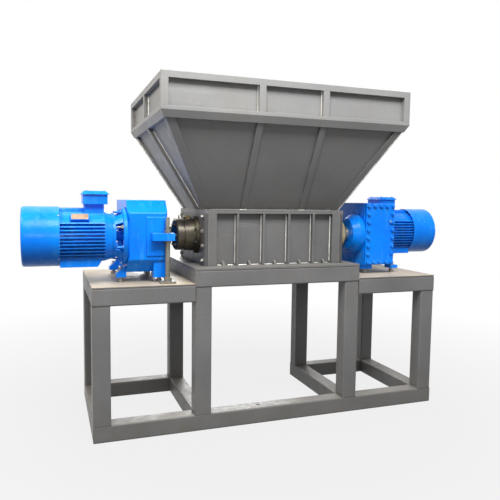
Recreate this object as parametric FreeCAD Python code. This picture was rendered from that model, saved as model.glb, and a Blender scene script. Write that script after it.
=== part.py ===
import FreeCAD, Part
import math
import os

from FreeCAD import Vector

# A twin-shaft shredder for plastic bags and film, in millimetres. A hopper feeds two
# toothed rotors in a low chamber on a tube frame, and a geared motor drives each rotor
# from its own end. The origin is on the floor at the middle of the frame, +X runs to
# the right end, +Y to the back and +Z up.

# Rotors, whose shafts lie at this height over the floor
shaft_height = 1160.0
shaft_across_flats = 110.0
spacer_radius = 85.0
cutter_radius = 145.0
tooth_height = 24.0
cutter_thickness = 38.0
cutter_gap = 2.0
tip_clearance = 10.0
cutter_turn = 20.0
cutter_starts = 4
hooks = 3
hook_angle = 9.0
tooth_land = 5.0
back_bulge = 4.0
stack_gap = 0.6
scraper_clearance = 3.0
scraper_height = 120.0

# Chamber of heavy plate
chamber_length = 932.0
floor_drop = 181.0
flange_rise = 161.0
flange_plate = 12.0
end_plate = 25.0
side_wall = 20.0
wall_clearance = 7.0
rib_depth = 35.0
rib_width = 14.0
post_width = 50.0
rib_spacing = 171.0
ribs_a_side = 4
tab_width = 16.0
tab_height = 26.0
discharge_margin = 8.0

# Frame of welded square tube
tube = 100.0
tube_wall = 5.0
tube_corner = 9.0
frame_depth = 846.0
centre_margin = 79.0
side_bay = 586.0
deck_plate = 8.0
base_plate = 14.0
base_hole_x = -126.0
base_hole_radius = 9.0

# Bearings
bearing_space = 3.0
bearing_shoulder = 19.0
bearing_flange = 26.0
housing_length = 92.0
spigot_step = 8.0
cap_step = 2.0
cap_length = 42.0
cap_bevel = 8.0
cap_groove = 8.0
groove_depth = 6.0
journal_radius = 45.0
idle_journal = 110.0
shaft_shoulder_gap = 1.0
fit_gap = 0.3

# Gear units, which lie on their sides
drive_gap = 221.0
gear_width = 233.0
gear_height = 426.0
gear_overhang = 189.0
gear_back = 131.0
gear_chamfer_y = 70.0
gear_chamfer_z = 76.0
gear_edge = 16.0
pad_width = 125.0
pad_height = 230.0
pad_proud = 7.0
pad_round = 5.0
output_radius = 132.0
output_step = 34.0
output_neck_radius = 104.0
output_length = 79.0
shaft_in_gear = 60.0
cover_plate = 22.0
cover_margin = 4.0
cover_edge = 6.0
input_offset = 319.0

# Feet and studs of the gear units
foot_width = 76.0
foot_height = 30.0
foot_inset = 5.0
foot_space = 15.0
bracket_reach = 58.0
bracket_plate = 22.0
gusset_rise = 50.0
gusset_width = 18.0
stud_length = 29.0
stud_radius = 11.0
stud_proud = 34.0
nut_radius = 19.0
nut_height = 16.0

# Torque lug and the rod that ties it to the deck
lug_thickness = 44.0
lug_length = 129.0
lug_reach = 32.0
lug_proud = 60.0
rod_inset = 7.0
tie_rod_top = 92.0
sleeve_radius = 14.0
clamp_plate = 12.0
clamp_length = 92.0
clamp_depth = 64.0
clamp_boss_radius = 24.0
clamp_boss = 22.0

# Lantern between each gear unit and its motor
flange_margin = 43.0
input_flange = 26.0
flange_round = 6.0
lantern_step = 12.0
lantern_taper = 22.0
lantern_length = 40.0
lantern_wall = 12.0
lantern_ring = 14.0
window_angle = 64.0
input_shaft_radius = 30.0

# Motors
fin_radius = 164.0
fin_depth = 18.0
fin_thickness = 7.0
fin_pitch = 20.0
side_fins = 11
lowest_fin = -120.0
top_fins = 5
bell_length = 46.0
bell_step = 3.0
stator_length = 254.0
cowl_gap = 3.0
cowl_wall = 3.0
cowl_length = 190.0
cowl_round = 14.0
cowl_lap = 10.0
cowl_lug = 24.0
grille_slots = 4
grille_slot = 11.0
grille_pitch = 32.0
grille_hub = 36.0
grille_spokes = 3
grille_spoke = 14.0
fan_radius = 125.0
fan_disc = 5.0
fan_blades = 7
blade_length = 55.0
blade_thickness = 4.0
hub_radius = 32.0
foot_half = 100.0
foot_top = 110.0
foot_slant = 40.0
plate_pad_length = 100.0
plate_pad_width = 46.0
plate_pad_angle = 45.0
plate_pad_x = 136.0
box_width = 135.0
box_depth = 170.0
box_height = 56.0
box_from_bell = 49.0
box_over_fins = 21.0
lid_height = 20.0
lid_overhang = 11.0
box_base_width = 120.0

# Hopper of sheet, stiffened with flat bars
rim_length = 1554.0
rim_depth = 1154.0
rim_top = 2058.0
rim_height = 202.0
throat_margin = 6.0
throat_inset = 22.0
flange_lip = 2.0
sheet = 6.0
rail_height = 36.0
bar_width = 40.0
bar_proud = 28.0
strip_height = 20.0
band_height = 40.0
mid_post_x = 200.0
angle_leg = 52.0
slope_bar_low = 6.0
slope_bar_high = 18.0
side_rib_inset = 65.0

shapes = {}


def box(low, high):
    size = high.sub(low)
    return Part.makeBox(size.x, size.y, size.z, low)


def square_tube(low, high, axis):
    """A hollow square tube with rounded corners, open at both ends along axis."""
    direction = Vector(*[1.0 if name == axis else 0.0 for name in "xyz"])
    across = Vector(1.0, 1.0, 1.0).sub(direction).multiply(tube_wall)
    outer = box(low, high)
    inner = box(low.add(across), high.sub(across))
    bars = []
    for bar, radius in ((outer, tube_corner), (inner, tube_corner - tube_wall)):
        long_edges = [edge for edge in bar.Edges
                      if abs(edge.tangentAt(edge.FirstParameter).dot(direction)) > 0.9]
        bars.append(bar.makeFillet(radius, long_edges))
    return bars[0].cut(bars[1])


def cylinder(radius, length, start, direction):
    return Part.makeCylinder(radius, length, start, direction)


def prism(points, direction):
    """A flat outline pushed along a direction."""
    return Part.Face(Part.makePolygon(points + points[:1])).extrude(direction)


def regular_bar(corners, radius, length, start, direction):
    """A bar with a regular polygon for its section, along +X or +Z."""
    points = []
    for i in range(corners):
        angle = 2.0 * math.pi * i / corners
        first, second = radius * math.cos(angle), radius * math.sin(angle)
        points.append(start.add(Vector(0.0, first, second) if direction.x else Vector(first, second, 0.0)))
    return prism(points, direction * length)


def hexagon_bar(across_flats, length, start):
    """A hexagonal bar along +X."""
    return regular_bar(6, across_flats / 2.0 / math.cos(math.pi / 6.0), length, start, X)


def nut(x, y, z):
    """A nut that stands on the level z."""
    return regular_bar(6, nut_radius, nut_height, Vector(x, y, z), Z)


def polyhedron(bottom, top):
    """A solid between two outlines with the same number of points."""
    count = len(bottom)
    faces = [Part.Face(Part.makePolygon(bottom + bottom[:1])),
             Part.Face(Part.makePolygon(top + top[:1]))]
    for i in range(count):
        j = (i + 1) % count
        side = [bottom[i], bottom[j], top[j], top[i], bottom[i]]
        faces.append(Part.Face(Part.makePolygon(side)))
    solid = Part.Solid(Part.Shell(faces))
    if solid.Volume < 0:
        solid.reverse()
    return solid


def mirrored(shape, normal):
    return shape.mirror(Vector(0.0, 0.0, 0.0), normal)


def turned(shape):
    """The same shape at the other end of the machine, half a turn about the middle."""
    copy = shape.copy()
    copy.rotate(Vector(0.0, 0.0, 0.0), Vector(0.0, 0.0, 1.0), 180.0)
    return copy


def fused(pieces):
    body = pieces[0]
    for piece in pieces[1:]:
        body = body.fuse(piece)
    return body.removeSplitter()


def keep(name, *pieces):
    shapes[name] = pieces[0] if len(pieces) == 1 else Part.makeCompound(list(pieces))


def keep_pair(name, *pieces):
    """The pieces of a node of the left drive unit, and its twin on the right one."""
    keep("left_" + name, *pieces)
    keep("right_" + name, *[turned(piece) for piece in pieces])


X = Vector(1.0, 0.0, 0.0)
Y = Vector(0.0, 1.0, 0.0)
Z = Vector(0.0, 0.0, 1.0)

# Places shared by several pieces
shaft_y = (cutter_radius + spacer_radius + tip_clearance) / 2.0
cutter_pitch = cutter_thickness + cutter_gap
wall_inside = shaft_y + cutter_radius + wall_clearance
wall_y = wall_inside + side_wall
chamber_y = wall_y + rib_depth
chamber_x = chamber_length / 2.0
chamber_inside = chamber_x - end_plate
cutters_a_side = int(chamber_inside / cutter_pitch)
chamber_floor = shaft_height - floor_drop
chamber_top = shaft_height + flange_rise
chamber_flange_top = chamber_top - flange_plate
chamber_wall_top = chamber_flange_top - flange_plate

gear_inner_x = chamber_x + drive_gap
gear_outer_x = gear_inner_x + gear_width
gear_front = -shaft_y - gear_overhang
gear_cover_y = shaft_y + gear_back
gear_low = shaft_height - gear_height / 2.0
gear_high = shaft_height + gear_height / 2.0
motor_y = shaft_y - input_offset

inner_x = chamber_x + centre_margin
end_x = inner_x + side_bay
front_y = -frame_depth / 2.0
centre_rail_top = chamber_floor - base_plate
centre_rail_low = centre_rail_top - tube
side_deck_top = gear_low - foot_height - stud_length
side_rail_top = side_deck_top - deck_plate
side_rail_low = side_rail_top - tube

bearing_flange_radius = shaft_y - bearing_space
housing_radius = bearing_flange_radius - bearing_shoulder
spigot_radius = housing_radius - spigot_step
cap_radius = housing_radius - cap_step

input_flange_radius = gear_height / 2.0 - flange_margin
lantern_radius = input_flange_radius - lantern_step
lantern_neck = lantern_radius - lantern_taper
input_flange_x = gear_outer_x + input_flange
lantern_end_x = input_flange_x + lantern_length + lantern_ring
bell_x = lantern_end_x + bell_length
fan_x = bell_x + stator_length
motor_end_x = fan_x + cowl_length
cowl_radius = fin_radius + cowl_gap + cowl_wall


def wedge(corner_x, corner_y, leg_x, leg_y):
    """A tall triangular prism that mitres the end of a tube."""
    points = [Vector(corner_x, corner_y, -1.0), Vector(corner_x + leg_x, corner_y, -1.0),
              Vector(corner_x, corner_y + leg_y, -1.0)]
    return prism(points, Vector(0.0, 0.0, centre_rail_top + 2.0))


def four_corners(piece):
    """The piece and its copies at the other three corners of the machine."""
    right = mirrored(piece, X)
    return [piece, right, mirrored(piece, Y), mirrored(right, Y)]


def build_frame():
    y_low, y_high = front_y, front_y + tube
    keep("outer_legs", *four_corners(square_tube(
        Vector(-end_x, y_low, tube), Vector(-end_x + tube, y_high, side_rail_low), "z")))
    keep("inner_legs", *four_corners(square_tube(
        Vector(-inner_x, y_low, tube), Vector(-inner_x + tube, y_high, centre_rail_low), "z")))

    side_rail = square_tube(Vector(-end_x, y_low, side_rail_low),
                            Vector(-inner_x, y_high, side_rail_top), "x")
    side_rail = side_rail.cut(wedge(-end_x, y_high, tube, -tube))
    keep("side_deck_long_rails", *four_corners(side_rail))

    front_rail = square_tube(Vector(-inner_x, y_low, centre_rail_low),
                             Vector(inner_x, y_high, centre_rail_top), "x")
    front_rail = front_rail.cut(wedge(-inner_x, y_high, tube, -tube))
    front_rail = front_rail.cut(wedge(inner_x, y_high, -tube, -tube))
    keep("centre_deck_long_rails", front_rail, mirrored(front_rail, Y))

    def cross_rail(x, z):
        """A rail from front to back on the left side of its bay, mitred at both ends."""
        bar = square_tube(Vector(x, y_low, z), Vector(x + tube, -y_low, z + tube), "y")
        bar = bar.cut(wedge(x + tube, y_low, -tube, tube))
        return bar.cut(wedge(x + tube, -y_low, -tube, -tube))

    outer_cross = cross_rail(-end_x, side_rail_low)
    inner_cross = cross_rail(-inner_x, centre_rail_low)
    keep("deck_cross_rails", outer_cross, mirrored(outer_cross, X),
         inner_cross, mirrored(inner_cross, X))

    outer_bottom = cross_rail(-end_x, 0.0)
    inner_bottom = square_tube(Vector(-inner_x, y_high, 0.0), Vector(-inner_x + tube, -y_low, tube), "y")
    inner_bottom = inner_bottom.cut(wedge(-inner_x, -y_low, tube, -tube))
    keep("bottom_cross_rails", outer_bottom, mirrored(outer_bottom, X),
         inner_bottom, mirrored(inner_bottom, X))

    front_bottom = square_tube(Vector(-end_x, y_low, 0.0), Vector(end_x, y_high, tube), "x")
    front_bottom = front_bottom.cut(wedge(-end_x, y_high, tube, -tube))
    front_bottom = front_bottom.cut(wedge(end_x, y_high, -tube, -tube))
    front_bottom = front_bottom.cut(cylinder(
        base_hole_radius, tube_wall + 2.0,
        Vector(base_hole_x, y_low + tube / 2.0, tube - tube_wall - 1.0), Z))
    back_bottom = square_tube(Vector(-end_x, -y_high, 0.0),
                              Vector(-inner_x + tube, -y_low, tube), "x")
    back_bottom = back_bottom.cut(wedge(-end_x, -y_high, tube, tube))
    back_bottom = back_bottom.cut(wedge(-inner_x + tube, -y_high, -tube, tube))
    keep("bottom_long_rails", front_bottom, back_bottom, mirrored(back_bottom, X))

    plate = box(Vector(-end_x, front_y, side_rail_top), Vector(-inner_x, -front_y, side_deck_top))
    keep("side_deck_plates", plate, mirrored(plate, X))

    hole_x = chamber_inside - discharge_margin
    hole_y = wall_inside - discharge_margin
    base = box(Vector(-inner_x, front_y, centre_rail_top), Vector(inner_x, -front_y, chamber_floor))
    base = base.cut(box(Vector(-hole_x, -hole_y, centre_rail_top - 1.0),
                        Vector(hole_x, hole_y, chamber_floor + 1.0)))
    keep("centre_deck_plate", base)


def chamber_side_wall():
    """The front wall: a plate with end posts, ribs and a small tab under each panel."""
    pieces = [box(Vector(-chamber_inside, -wall_y, chamber_floor),
                  Vector(chamber_inside, -wall_inside, chamber_wall_top))]
    post = box(Vector(-chamber_inside, -chamber_y, chamber_floor),
               Vector(-chamber_inside + post_width, -wall_y, chamber_wall_top))
    pieces += [post, mirrored(post, X)]
    for i in range(ribs_a_side):
        x = (i - (ribs_a_side - 1) / 2.0) * rib_spacing
        pieces.append(box(Vector(x - rib_width / 2.0, -chamber_y, chamber_floor),
                          Vector(x + rib_width / 2.0, -wall_y, chamber_wall_top)))
    for i in range(ribs_a_side + 1):
        x = (i - ribs_a_side / 2.0) * rib_spacing - tab_width / 2.0
        pieces.append(prism([Vector(x, -wall_y, chamber_floor), Vector(x, -chamber_y, chamber_floor),
                             Vector(x, -wall_y, chamber_floor + tab_height)],
                            Vector(tab_width, 0.0, 0.0)))
    return fused(pieces)


def build_chamber():
    wall = chamber_side_wall()
    keep("chamber_front_wall", wall)
    keep("chamber_back_wall", mirrored(wall, Y))

    end = box(Vector(-chamber_x, -chamber_y, chamber_floor),
              Vector(-chamber_inside, chamber_y, chamber_wall_top))
    for y in (-shaft_y, shaft_y):
        end = end.cut(cylinder(spigot_radius + fit_gap, end_plate + 2.0,
                               Vector(-chamber_x - 1.0, y, shaft_height), X))
    keep("chamber_left_end", end)
    keep("chamber_right_end", mirrored(end, X))

    def ring(x_in, y_in, z):
        plate = box(Vector(-chamber_x, -chamber_y, z), Vector(chamber_x, chamber_y, z + flange_plate))
        return plate.cut(box(Vector(-x_in, -y_in, z - 1.0), Vector(x_in, y_in, z + flange_plate + 1.0)))

    keep("chamber_flange", ring(chamber_inside, wall_inside, chamber_wall_top))
    keep("hopper_flange", ring(chamber_inside, wall_inside - throat_inset - sheet - flange_lip,
                               chamber_flange_top))


def cutter(start_x, y, turn):
    """A hooked disc and the spacer beside it, cut to slide onto the hexagonal shaft."""
    def point(radius, degrees):
        angle = math.radians(degrees)
        return Vector(start_x, y + radius * math.cos(angle), shaft_height + radius * math.sin(angle))

    root_radius = cutter_radius - tooth_height
    edges = []
    step = 360.0 / hooks
    for i in range(hooks):
        tip = turn - i * step
        tooth_end = point(cutter_radius, tip - tooth_land)
        root = point(root_radius, tip - step + hook_angle)
        edges.append(Part.Arc(point(cutter_radius, tip), point(cutter_radius, tip - tooth_land / 2.0),
                              tooth_end).toShape())
        middle = point((cutter_radius + root_radius) / 2.0 + back_bulge, tip - step / 2.0)
        edges.append(Part.Arc(tooth_end, middle, root).toShape())
        edges.append(Part.makeLine(root, point(cutter_radius, tip - step)))
    disc = Part.Face(Part.Wire(edges)).extrude(Vector(cutter_thickness, 0.0, 0.0))
    boss = cylinder(spacer_radius, 2.0 * cutter_pitch - stack_gap, Vector(start_x, y, shaft_height), X)
    bore = hexagon_bar(shaft_across_flats + 2.0 * fit_gap, 4.0 * cutter_pitch,
                       Vector(start_x - cutter_pitch, y, shaft_height))
    return fused([disc, boss]).cut(bore)


def build_rotors():
    """The front rotor, driven from the right end. The rear one is the same, turned about."""
    stack_x = -cutters_a_side * cutter_pitch
    discs = []
    for i in range(cutters_a_side):
        x = stack_x + 2.0 * cutter_pitch * i + stack_gap / 2.0
        discs.append(cutter(x, -shaft_y, cutter_turn + i * 360.0 / hooks / cutter_starts))
    keep("front_cutters", *discs)
    keep("rear_cutters", *[turned(disc) for disc in discs])

    length = 2.0 * (chamber_inside - shaft_shoulder_gap)
    start = -length / 2.0
    bar = hexagon_bar(shaft_across_flats, length, Vector(start, -shaft_y, shaft_height))
    idle = cylinder(journal_radius, idle_journal, Vector(start - idle_journal, -shaft_y, shaft_height), X)
    drive_length = gear_inner_x + shaft_in_gear - length / 2.0
    drive = cylinder(journal_radius, drive_length, Vector(length / 2.0, -shaft_y, shaft_height), X)
    shaft = fused([bar, idle, drive])
    keep("front_rotor_shaft", shaft)
    keep("rear_rotor_shaft", turned(shaft))

    scrapers = []
    reach = -shaft_y - spacer_radius - scraper_clearance
    for i in range(cutters_a_side):
        x = stack_x + 2.0 * cutter_pitch * i + cutter_pitch + scraper_clearance
        profile = [Vector(x, -wall_inside, shaft_height - scraper_height / 2.0),
                   Vector(x, reach, shaft_height - scraper_height / 4.0),
                   Vector(x, reach, shaft_height + scraper_height / 4.0),
                   Vector(x, -wall_inside, shaft_height + scraper_height / 2.0)]
        scrapers.append(prism(profile, Vector(cutter_pitch - 2.0 * scraper_clearance, 0.0, 0.0)))
    keep("scrapers", *scrapers, *[turned(scraper) for scraper in scrapers])


def revolved(profile, y):
    """A solid turned about the X line through y at shaft height, from (x, radius) points."""
    points = [Vector(x, y, shaft_height + radius) for x, radius in profile]
    face = Part.Face(Part.makePolygon(points + points[:1]))
    return face.revolve(Vector(0.0, y, shaft_height), X, 360.0)


def build_bearings():
    """The idle bearing at the left end of the front rotor and the drive bearing at its right."""
    bore = journal_radius + fit_gap
    outside = -chamber_x
    flange_x = outside - bearing_flange
    body_x = outside - housing_length
    groove_x = body_x - cap_groove
    cap_x = groove_x - cap_length
    idle = revolved([(outside + end_plate, bore), (outside + end_plate, spigot_radius),
                     (outside, spigot_radius), (outside, bearing_flange_radius),
                     (flange_x, bearing_flange_radius), (flange_x, housing_radius),
                     (body_x, housing_radius), (body_x, cap_radius - groove_depth),
                     (groove_x, cap_radius - groove_depth), (groove_x, cap_radius),
                     (cap_x + cap_bevel, cap_radius), (cap_x, cap_radius - cap_bevel),
                     (cap_x, 0.0), (outside + end_plate - idle_journal, 0.0),
                     (outside + end_plate - idle_journal, bore)], -shaft_y)
    keep("idle_bearings", idle, turned(idle))
    outside = chamber_x
    body_x = outside + housing_length
    drive = revolved([(outside - end_plate, bore), (outside - end_plate, spigot_radius),
                      (outside, spigot_radius), (outside, bearing_flange_radius),
                      (outside + bearing_flange, bearing_flange_radius),
                      (outside + bearing_flange, housing_radius), (body_x - cap_bevel, housing_radius),
                      (body_x, housing_radius - cap_bevel), (body_x, bore)], -shaft_y)
    keep("drive_bearings", drive, turned(drive))


def gear_housing():
    """The left housing: a chamfered case with its output boss and the pad behind the lug."""
    back = gear_cover_y - cover_plate
    x = -gear_outer_x
    body = prism([Vector(x, gear_front, gear_low + gear_chamfer_z),
                  Vector(x, gear_front + gear_chamfer_y, gear_low),
                  Vector(x, back, gear_low), Vector(x, back, gear_high),
                  Vector(x, gear_front + gear_chamfer_y, gear_high),
                  Vector(x, gear_front, gear_high - gear_chamfer_z)], Vector(gear_width, 0.0, 0.0))
    edges = [edge for edge in body.Edges
             if abs(edge.tangentAt(edge.FirstParameter).y) < 0.01
             and abs(edge.CenterOfMass.y - back) > 1.0]
    body = body.makeFillet(gear_edge, edges)
    output = revolved([(-gear_inner_x - 1.0, 0.0), (-gear_inner_x - 1.0, output_radius),
                       (-gear_inner_x + output_step, output_radius),
                       (-gear_inner_x + output_length, output_neck_radius),
                       (-gear_inner_x + output_length, 0.0)], shaft_y)
    pad = box(Vector(-gear_inner_x - pad_width, gear_front - pad_proud, shaft_height - pad_height / 2.0),
              Vector(-gear_inner_x - gear_edge, gear_front + pad_proud, shaft_height + pad_height / 2.0))
    pad = pad.makeFillet(pad_round, [edge for edge in pad.Edges
                                     if abs(edge.CenterOfMass.y - gear_front + pad_proud) < 0.1])
    housing = fused([body, output, pad])
    depth = shaft_in_gear + fit_gap
    return housing.cut(cylinder(journal_radius + fit_gap, depth + output_length + 1.0,
                                Vector(-gear_inner_x - depth, shaft_y, shaft_height), X))


def build_gear_feet():
    """Two feet under the inner side of the left housing and two brackets on its outer side."""
    foot_low = gear_low - foot_height
    inner = -gear_inner_x - foot_inset
    middle_x = inner - foot_width / 2.0
    front = gear_front + foot_space
    back = gear_cover_y - cover_plate - foot_space
    feet = []
    for y, web in ((front, True), (back - foot_width, False)):
        outline = [Vector(inner, y, foot_low), Vector(inner, y + foot_width, foot_low),
                   Vector(inner, y + foot_width, gear_low)]
        if web:
            slope = gear_chamfer_z / gear_chamfer_y
            outline += [Vector(inner, gear_front + gear_chamfer_y, gear_low),
                        Vector(inner, y, gear_low + slope * (gear_front + gear_chamfer_y - y))]
        else:
            outline.append(Vector(inner, y, gear_low))
        middle_y = y + foot_width / 2.0
        feet.append(fused([prism(outline, Vector(-foot_width, 0.0, 0.0)),
                           cylinder(stud_radius, foot_low - side_deck_top,
                                    Vector(middle_x, middle_y, side_deck_top), Z),
                           nut(middle_x, middle_y, side_deck_top)]))
    x = -gear_outer_x
    stud_x = x - bracket_reach / 2.0
    for y in (gear_front + gear_chamfer_y, back - foot_width):
        middle_y = y + foot_width / 2.0
        top = foot_low + bracket_plate
        plate = box(Vector(x - bracket_reach, y, foot_low), Vector(x, y + foot_width, top))
        gusset = prism([Vector(x, y, top), Vector(x - bracket_reach, y, top),
                        Vector(x, y, top + gusset_rise)], Vector(0.0, gusset_width, 0.0))
        stud = cylinder(stud_radius, top + stud_proud - side_deck_top,
                        Vector(stud_x, middle_y, side_deck_top), Z)
        feet.append(fused([plate, gusset, stud, nut(stud_x, middle_y, side_deck_top),
                           nut(stud_x, middle_y, top)]))
    keep("gear_feet", *feet, *[turned(foot) for foot in feet])


def build_gear_unit():
    keep_pair("gear_housing", gear_housing())
    cover = box(Vector(-gear_outer_x + cover_margin, gear_cover_y - cover_plate, gear_low + cover_margin),
                Vector(-gear_inner_x - cover_margin, gear_cover_y, gear_high - cover_margin))
    keep_pair("gear_cover", cover.makeFillet(
        cover_edge, [edge for edge in cover.Edges if abs(edge.CenterOfMass.y - gear_cover_y) < 0.1]))

    lug_x = -gear_inner_x + lug_reach - lug_length
    top = shaft_height + lug_thickness / 2.0
    low = shaft_height - lug_thickness / 2.0
    lug = box(Vector(lug_x, gear_front - lug_proud, low),
              Vector(lug_x + lug_length, gear_front - pad_proud, top))
    rod_x = -gear_inner_x - rod_inset
    rod_y = gear_front - (lug_proud + pad_proud) / 2.0
    lug = lug.cut(cylinder(stud_radius + fit_gap, lug_thickness + 2.0, Vector(rod_x, rod_y, low - 1.0), Z))
    keep("torque_lugs", lug, turned(lug))

    deck = side_deck_top
    clamp_top = deck + clamp_plate
    rod = fused([cylinder(stud_radius, top + tie_rod_top - deck, Vector(rod_x, rod_y, deck), Z),
                 nut(rod_x, rod_y, top), nut(rod_x, rod_y, low - nut_height),
                 cylinder(sleeve_radius, low - nut_height - deck, Vector(rod_x, rod_y, deck), Z),
                 cylinder(clamp_boss_radius, clamp_boss, Vector(rod_x, rod_y, clamp_top), Z),
                 box(Vector(rod_x - clamp_length / 2.0, rod_y - clamp_depth / 2.0, deck),
                     Vector(rod_x + clamp_length / 2.0, rod_y + clamp_depth / 2.0, clamp_top))])
    keep("tie_rods", rod, turned(rod))


def build_lantern():
    """The flange on each gear unit and the open lantern that carries its motor."""
    gear_x = -gear_outer_x
    x = -input_flange_x
    neck_x = x - lantern_length
    face_x = -lantern_end_x
    casting = revolved([(gear_x, lantern_neck), (gear_x, input_flange_radius - flange_round),
                        (gear_x - flange_round, input_flange_radius),
                        (x + flange_round, input_flange_radius), (x, input_flange_radius - flange_round),
                        (x, lantern_radius), (neck_x, lantern_neck), (face_x, lantern_neck),
                        (face_x, lantern_neck - 2.0 * lantern_wall),
                        (neck_x, lantern_neck - 2.0 * lantern_wall), (neck_x, lantern_neck - lantern_wall),
                        (x, lantern_radius - lantern_wall), (x, lantern_neck)], motor_y)
    half = math.radians(window_angle / 2.0)
    reach = 2.0 * lantern_radius
    for quarter in range(4):
        middle = math.radians(90.0 * quarter)
        outline = [Vector(x, motor_y, shaft_height)]
        for angle in (middle - half, middle + half):
            outline.append(Vector(x, motor_y + reach * math.cos(angle),
                                  shaft_height + reach * math.sin(angle)))
        casting = casting.cut(prism(outline, Vector(-lantern_length, 0.0, 0.0)))
    keep_pair("motor_flange", casting)


def radial_block(low_radius, high_radius, width, start_x, length, degrees):
    """A block that stands out from the left motor's axis at an angle from the level."""
    block = box(Vector(start_x, motor_y + low_radius, shaft_height - width / 2.0),
                Vector(start_x + length, motor_y + high_radius, shaft_height + width / 2.0))
    block.rotate(Vector(start_x, motor_y, shaft_height), X, degrees)
    return block


def motor_fan():
    """The fan behind the grille: a hub, a disc and straight blades."""
    disc_x = -fan_x - cowl_length / 2.0
    hub_x = disc_x - blade_length
    pieces = [cylinder(hub_radius, -fan_x - hub_x, Vector(hub_x, motor_y, shaft_height), X),
              cylinder(fan_radius, fan_disc, Vector(disc_x, motor_y, shaft_height), X)]
    for i in range(fan_blades):
        pieces.append(radial_block(0.0, fan_radius, blade_thickness, hub_x, blade_length,
                                   360.0 * i / fan_blades))
    return pieces


def motor_body():
    """The left motor: bell, finned stator, foot, box neck, nameplate pad and fan."""
    stator_radius = fin_radius - fin_depth
    fan_end = -fan_x
    bell_start = -bell_x
    face_x = -lantern_end_x
    pieces = [revolved([(fan_end, 0.0), (fan_end, stator_radius), (bell_start, stator_radius),
                        (face_x, lantern_neck - bell_step), (face_x, 0.0)], motor_y),
              cylinder(input_shaft_radius, lantern_end_x - gear_outer_x,
                       Vector(face_x, motor_y, shaft_height), X)]
    envelope = cylinder(fin_radius, stator_length, Vector(fan_end, motor_y, shaft_height), X)
    for i in range(side_fins):
        z = shaft_height + lowest_fin + i * fin_pitch
        plate = box(Vector(fan_end, motor_y - fin_radius, z - fin_thickness / 2.0),
                    Vector(bell_start, motor_y + fin_radius, z + fin_thickness / 2.0))
        pieces.append(plate.common(envelope))
    for i in range(top_fins):
        y = motor_y + (i - (top_fins - 1) / 2.0) * fin_pitch
        plate = box(Vector(fan_end, y - fin_thickness / 2.0, shaft_height),
                    Vector(bell_start, y + fin_thickness / 2.0, shaft_height + fin_radius))
        pieces.append(plate.common(envelope))
    seat = cylinder(cowl_radius - cowl_wall, cowl_lap, Vector(fan_end, motor_y, shaft_height), X)
    for quarter in range(4):
        lug = radial_block(stator_radius - fin_depth, cowl_radius, cowl_lug, fan_end, cowl_lap,
                           45.0 + 90.0 * quarter)
        pieces.append(lug.common(seat))

    foot_low = shaft_height - cowl_radius
    foot_high = shaft_height - foot_top
    rings = []
    for x, z in ((bell_start - foot_slant, foot_low), (bell_start, foot_high)):
        rings.append([Vector(fan_end + cowl_lap, motor_y - foot_half, z),
                      Vector(fan_end + cowl_lap, motor_y + foot_half, z),
                      Vector(x, motor_y + foot_half, z), Vector(x, motor_y - foot_half, z)])
    pieces.append(polyhedron(rings[0], rings[1]))

    neck_high = shaft_height + fin_radius + box_over_fins
    half = box_base_width / 2.0
    pieces.append(box(Vector(bell_start - box_from_bell - half, motor_y - half, shaft_height),
                      Vector(bell_start, motor_y + half, neck_high)))
    pieces.append(radial_block(stator_radius - fin_depth, fin_radius, plate_pad_width,
                               bell_start - plate_pad_x - plate_pad_length / 2.0, plate_pad_length,
                               180.0 - plate_pad_angle))
    return fused(pieces + motor_fan())


def fan_cowl():
    """A thin cover over the left motor's fan, with rings of slots in its end."""
    def cup(radius, end, round_radius):
        body = cylinder(radius, cowl_lap - fan_x - end, Vector(end, motor_y, shaft_height), X)
        rim = [edge for edge in body.Edges if edge.Closed and abs(edge.CenterOfMass.x - end) < 0.1]
        return body.makeFillet(round_radius, rim)

    end = -motor_end_x
    shell = cup(cowl_radius, end, cowl_round).cut(
        cup(cowl_radius - cowl_wall, end + cowl_wall, cowl_round - cowl_wall))
    slots = []
    centre = Vector(end - 1.0, motor_y, shaft_height)
    for i in range(grille_slots):
        radius = grille_hub + i * grille_pitch
        ring = cylinder(radius + grille_slot, cowl_wall + 2.0, centre, X)
        slots.append(ring.cut(cylinder(radius, cowl_wall + 2.0, centre, X)))
    grille = slots[0]
    for slot in slots[1:]:
        grille = grille.fuse(slot)
    for i in range(grille_spokes):
        spoke = box(Vector(end - 1.0, motor_y - cowl_radius, shaft_height - grille_spoke / 2.0),
                    Vector(end + cowl_wall + 1.0, motor_y + cowl_radius, shaft_height + grille_spoke / 2.0))
        spoke.rotate(centre, X, 180.0 * i / grille_spokes)
        grille = grille.cut(spoke)
    return shell.cut(grille)


def terminal_box():
    """The left motor's terminal box, with a lid that overhangs it and slopes on four sides."""
    middle = -bell_x - box_from_bell
    case_low = shaft_height + fin_radius + box_over_fins
    lid_low = case_low + box_height
    half_x, half_y = box_width / 2.0, box_depth / 2.0
    case = box(Vector(middle - half_x, motor_y - half_y, case_low),
               Vector(middle + half_x, motor_y + half_y, lid_low))
    rings = []
    for reach, z in ((lid_overhang, lid_low), (lid_overhang - lid_height, lid_low + lid_height)):
        rings.append([Vector(middle + sx * (half_x + reach), motor_y + sy * (half_y + reach), z)
                      for sx, sy in ((-1, -1), (1, -1), (1, 1), (-1, 1))])
    return fused([case, polyhedron(rings[0], rings[1])])


def build_motor():
    build_lantern()
    keep_pair("motor_body", motor_body())
    keep_pair("fan_cowl", fan_cowl())
    keep_pair("terminal_box", terminal_box())


def hopper_outline(x, y, z, inset):
    return [Vector(-x + inset, -y + inset, z), Vector(x - inset, -y + inset, z),
            Vector(x - inset, y - inset, z), Vector(-x + inset, y - inset, z)]


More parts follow.
